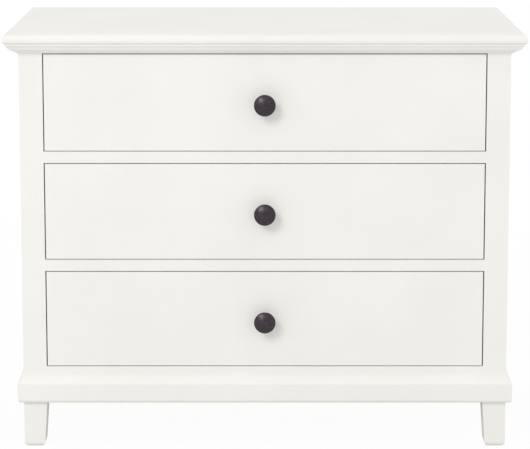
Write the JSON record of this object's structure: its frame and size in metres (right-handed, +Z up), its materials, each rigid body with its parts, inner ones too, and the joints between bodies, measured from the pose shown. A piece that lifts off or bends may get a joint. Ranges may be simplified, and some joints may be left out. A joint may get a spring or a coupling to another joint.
{
  "type": "nightstand",
  "caption": "Wide painted nightstand: moulded top, framed case on short tapered feet, flush drawers on ball-bearing slides with round dark knobs.",
  "frame": {"origin": "on the floor, under the middle of the whole piece, knobs included", "axes": "+X to the right along the width, +Y towards the back, so the drawers open along -Y, +Z up"},
  "size_m": [0.762, 0.461, 0.62],
  "materials": {
    "white_paint": "satin",
    "clear_birch": "satin",
    "birch_ply": "matte",
    "zinc_steel": "satin",
    "ball_steel": "polished",
    "screw_steel": "satin",
    "dark_bronze": "satin",
    "glide_nylon": "matte"
  },
  "bodies": {
    "case": {"top_panel": "white_paint", "cornice_front": "white_paint", "cornice_left": "white_paint", "cornice_right": "white_paint", "base_moulding_front": "white_paint", "base_moulding_left": "white_paint", "base_moulding_right": "white_paint", "post_front_left": "white_paint", "post_front_right": "white_paint", "post_back_left": "white_paint", "post_back_right": "white_paint", "front_rail_top": "white_paint", "back_rail_top": "white_paint", "drawer_rail_upper": "white_paint", "drawer_rail_lower": "white_paint", "front_rail_bottom": "white_paint", "back_rail_bottom": "white_paint", "side_rail_top_left": "white_paint", "side_rail_top_right": "white_paint", "side_rail_bottom_left": "white_paint", "side_rail_bottom_right": "white_paint", "side_panel_left": "white_paint", "side_panel_right": "white_paint", "back_panel": "white_paint", "bottom_panel": "birch_ply", "corner_blocks": "clear_birch", "slide_cleats": "clear_birch", "slide_case_members": "zinc_steel", "case_screws": "screw_steel", "foot_glides": "glide_nylon"},
    "drawer_upper": {"drawer_upper_front": "white_paint", "drawer_upper_box_front": "clear_birch", "drawer_upper_box_back": "clear_birch", "drawer_upper_side_left": "clear_birch", "drawer_upper_side_right": "clear_birch", "drawer_upper_bottom": "birch_ply", "drawer_upper_knob": "dark_bronze", "drawer_upper_screws": "screw_steel", "drawer_upper_slide_members": "zinc_steel"},
    "ball_cage_upper": {"ball_cage_upper": "ball_steel"},
    "drawer_middle": {"drawer_middle_front": "white_paint", "drawer_middle_box_front": "clear_birch", "drawer_middle_box_back": "clear_birch", "drawer_middle_side_left": "clear_birch", "drawer_middle_side_right": "clear_birch", "drawer_middle_bottom": "birch_ply", "drawer_middle_knob": "dark_bronze", "drawer_middle_screws": "screw_steel", "drawer_middle_slide_members": "zinc_steel"},
    "ball_cage_middle": {"ball_cage_middle": "ball_steel"},
    "drawer_lower": {"drawer_lower_front": "white_paint", "drawer_lower_box_front": "clear_birch", "drawer_lower_box_back": "clear_birch", "drawer_lower_side_left": "clear_birch", "drawer_lower_side_right": "clear_birch", "drawer_lower_bottom": "birch_ply", "drawer_lower_knob": "dark_bronze", "drawer_lower_screws": "screw_steel", "drawer_lower_slide_members": "zinc_steel"},
    "ball_cage_lower": {"ball_cage_lower": "ball_steel"}
  },
  "joints": [
    {"name": "drawer_upper_slide", "type": "slide", "parent": "case", "child": "drawer_upper", "axis": [0, -1, 0], "range_m": [0, 0.29]},
    {"name": "ball_cage_upper_roll", "type": "slide", "parent": "case", "child": "ball_cage_upper", "axis": [0, -1, 0], "range_m": [0, 0.145]},
    {"name": "drawer_middle_slide", "type": "slide", "parent": "case", "child": "drawer_middle", "axis": [0, -1, 0], "range_m": [0, 0.29]},
    {"name": "ball_cage_middle_roll", "type": "slide", "parent": "case", "child": "ball_cage_middle", "axis": [0, -1, 0], "range_m": [0, 0.145]},
    {"name": "drawer_lower_slide", "type": "slide", "parent": "case", "child": "drawer_lower", "axis": [0, -1, 0], "range_m": [0, 0.29]},
    {"name": "ball_cage_lower_roll", "type": "slide", "parent": "case", "child": "ball_cage_lower", "axis": [0, -1, 0], "range_m": [0, 0.145]}
  ],
  "couplings": [
    {"joint": "ball_cage_upper_roll", "follows": "drawer_upper_slide", "ratio": 0.5},
    {"joint": "ball_cage_middle_roll", "follows": "drawer_middle_slide", "ratio": 0.5},
    {"joint": "ball_cage_lower_roll", "follows": "drawer_lower_slide", "ratio": 0.5}
  ]
}
